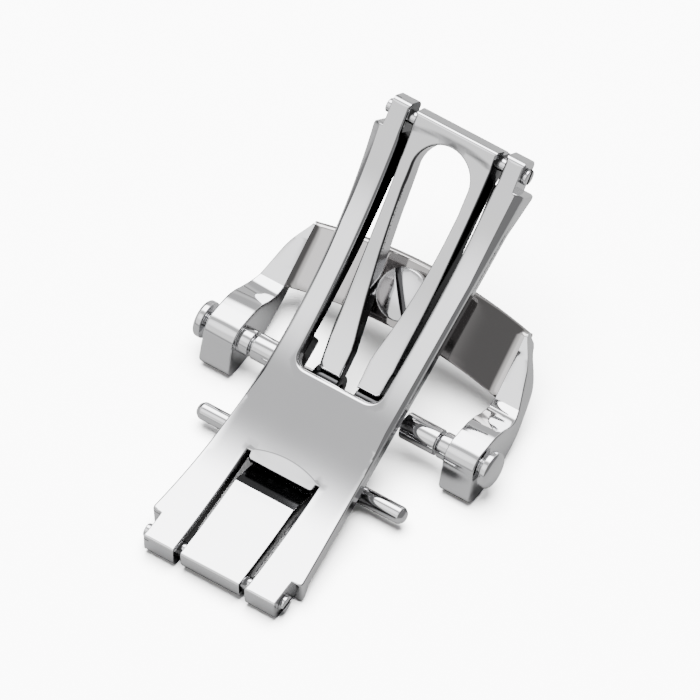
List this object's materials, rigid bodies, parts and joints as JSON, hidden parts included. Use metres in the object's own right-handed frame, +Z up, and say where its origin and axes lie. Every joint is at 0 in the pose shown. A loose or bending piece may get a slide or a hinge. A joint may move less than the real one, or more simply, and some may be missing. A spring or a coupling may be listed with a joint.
{
  "type": "watch strap clasp",
  "caption": "Folding steel watch buckle: a curved blade with a fork leaf and a tongue leaf hinged under it, and a hinged frame with a stud for the strap's end.",
  "frame": {"origin": "on the table, under the middle of the clasp's overall box, with the clasp closed and lying on its ears and its tongue end", "axes": "+X across the strap, +Y along the strap from the tongue hinge towards the fork hinge, +Z up, towards the wrist side of the blade"},
  "size_m": [0.0262, 0.0348, 0.019],
  "materials": {
    "polished_steel": "mirror-polished stainless steel",
    "pin_steel": "turned and polished stainless steel",
    "spring_steel": "drawn spring steel"
  },
  "bodies": {
    "blade": {"base_blade": "polished_steel", "fork_hinge_screw": "pin_steel", "tongue_hinge_screw": "pin_steel"},
    "fork": {"fork_leaf": "polished_steel", "latch_pin_left": "pin_steel", "latch_pin_right": "pin_steel", "bar_tube_left": "polished_steel", "bar_tube_right": "polished_steel", "return_spring_left": "spring_steel", "return_spring_right": "spring_steel"},
    "tongue": {"tongue_leaf": "polished_steel", "strap_bar": "polished_steel"},
    "frame": {"buckle_frame": "polished_steel", "stud": "pin_steel", "ear_bush_left": "polished_steel", "ear_bush_right": "polished_steel"},
    "button_left": {"push_button_left": "polished_steel"},
    "button_right": {"push_button_right": "polished_steel"}
  },
  "joints": [
    {"name": "fork_hinge", "type": "hinge", "parent": "blade", "child": "fork", "pos_m": [0, 0.01613, 0.01743], "axis": [1, 0, 0], "range_deg": [0, 150]},
    {"name": "tongue_hinge", "type": "hinge", "parent": "blade", "child": "tongue", "pos_m": [0, -0.01618, 0.00112], "axis": [-1, 0, 0], "range_deg": [0, 150]},
    {"name": "frame_hinge", "type": "hinge", "parent": "fork", "child": "frame", "pos_m": [0, 0.00122, 0.00297], "axis": [1, 0, 0], "range_deg": [-110, 6]},
    {"name": "button_left_press", "type": "slide", "parent": "fork", "child": "button_left", "axis": [1, 0, 0], "range_m": [0, 0.0003], "stiffness_N_per_m": 1500},
    {"name": "button_right_press", "type": "slide", "parent": "fork", "child": "button_right", "axis": [-1, 0, 0], "range_m": [0, 0.0003], "stiffness_N_per_m": 1500}
  ]
}
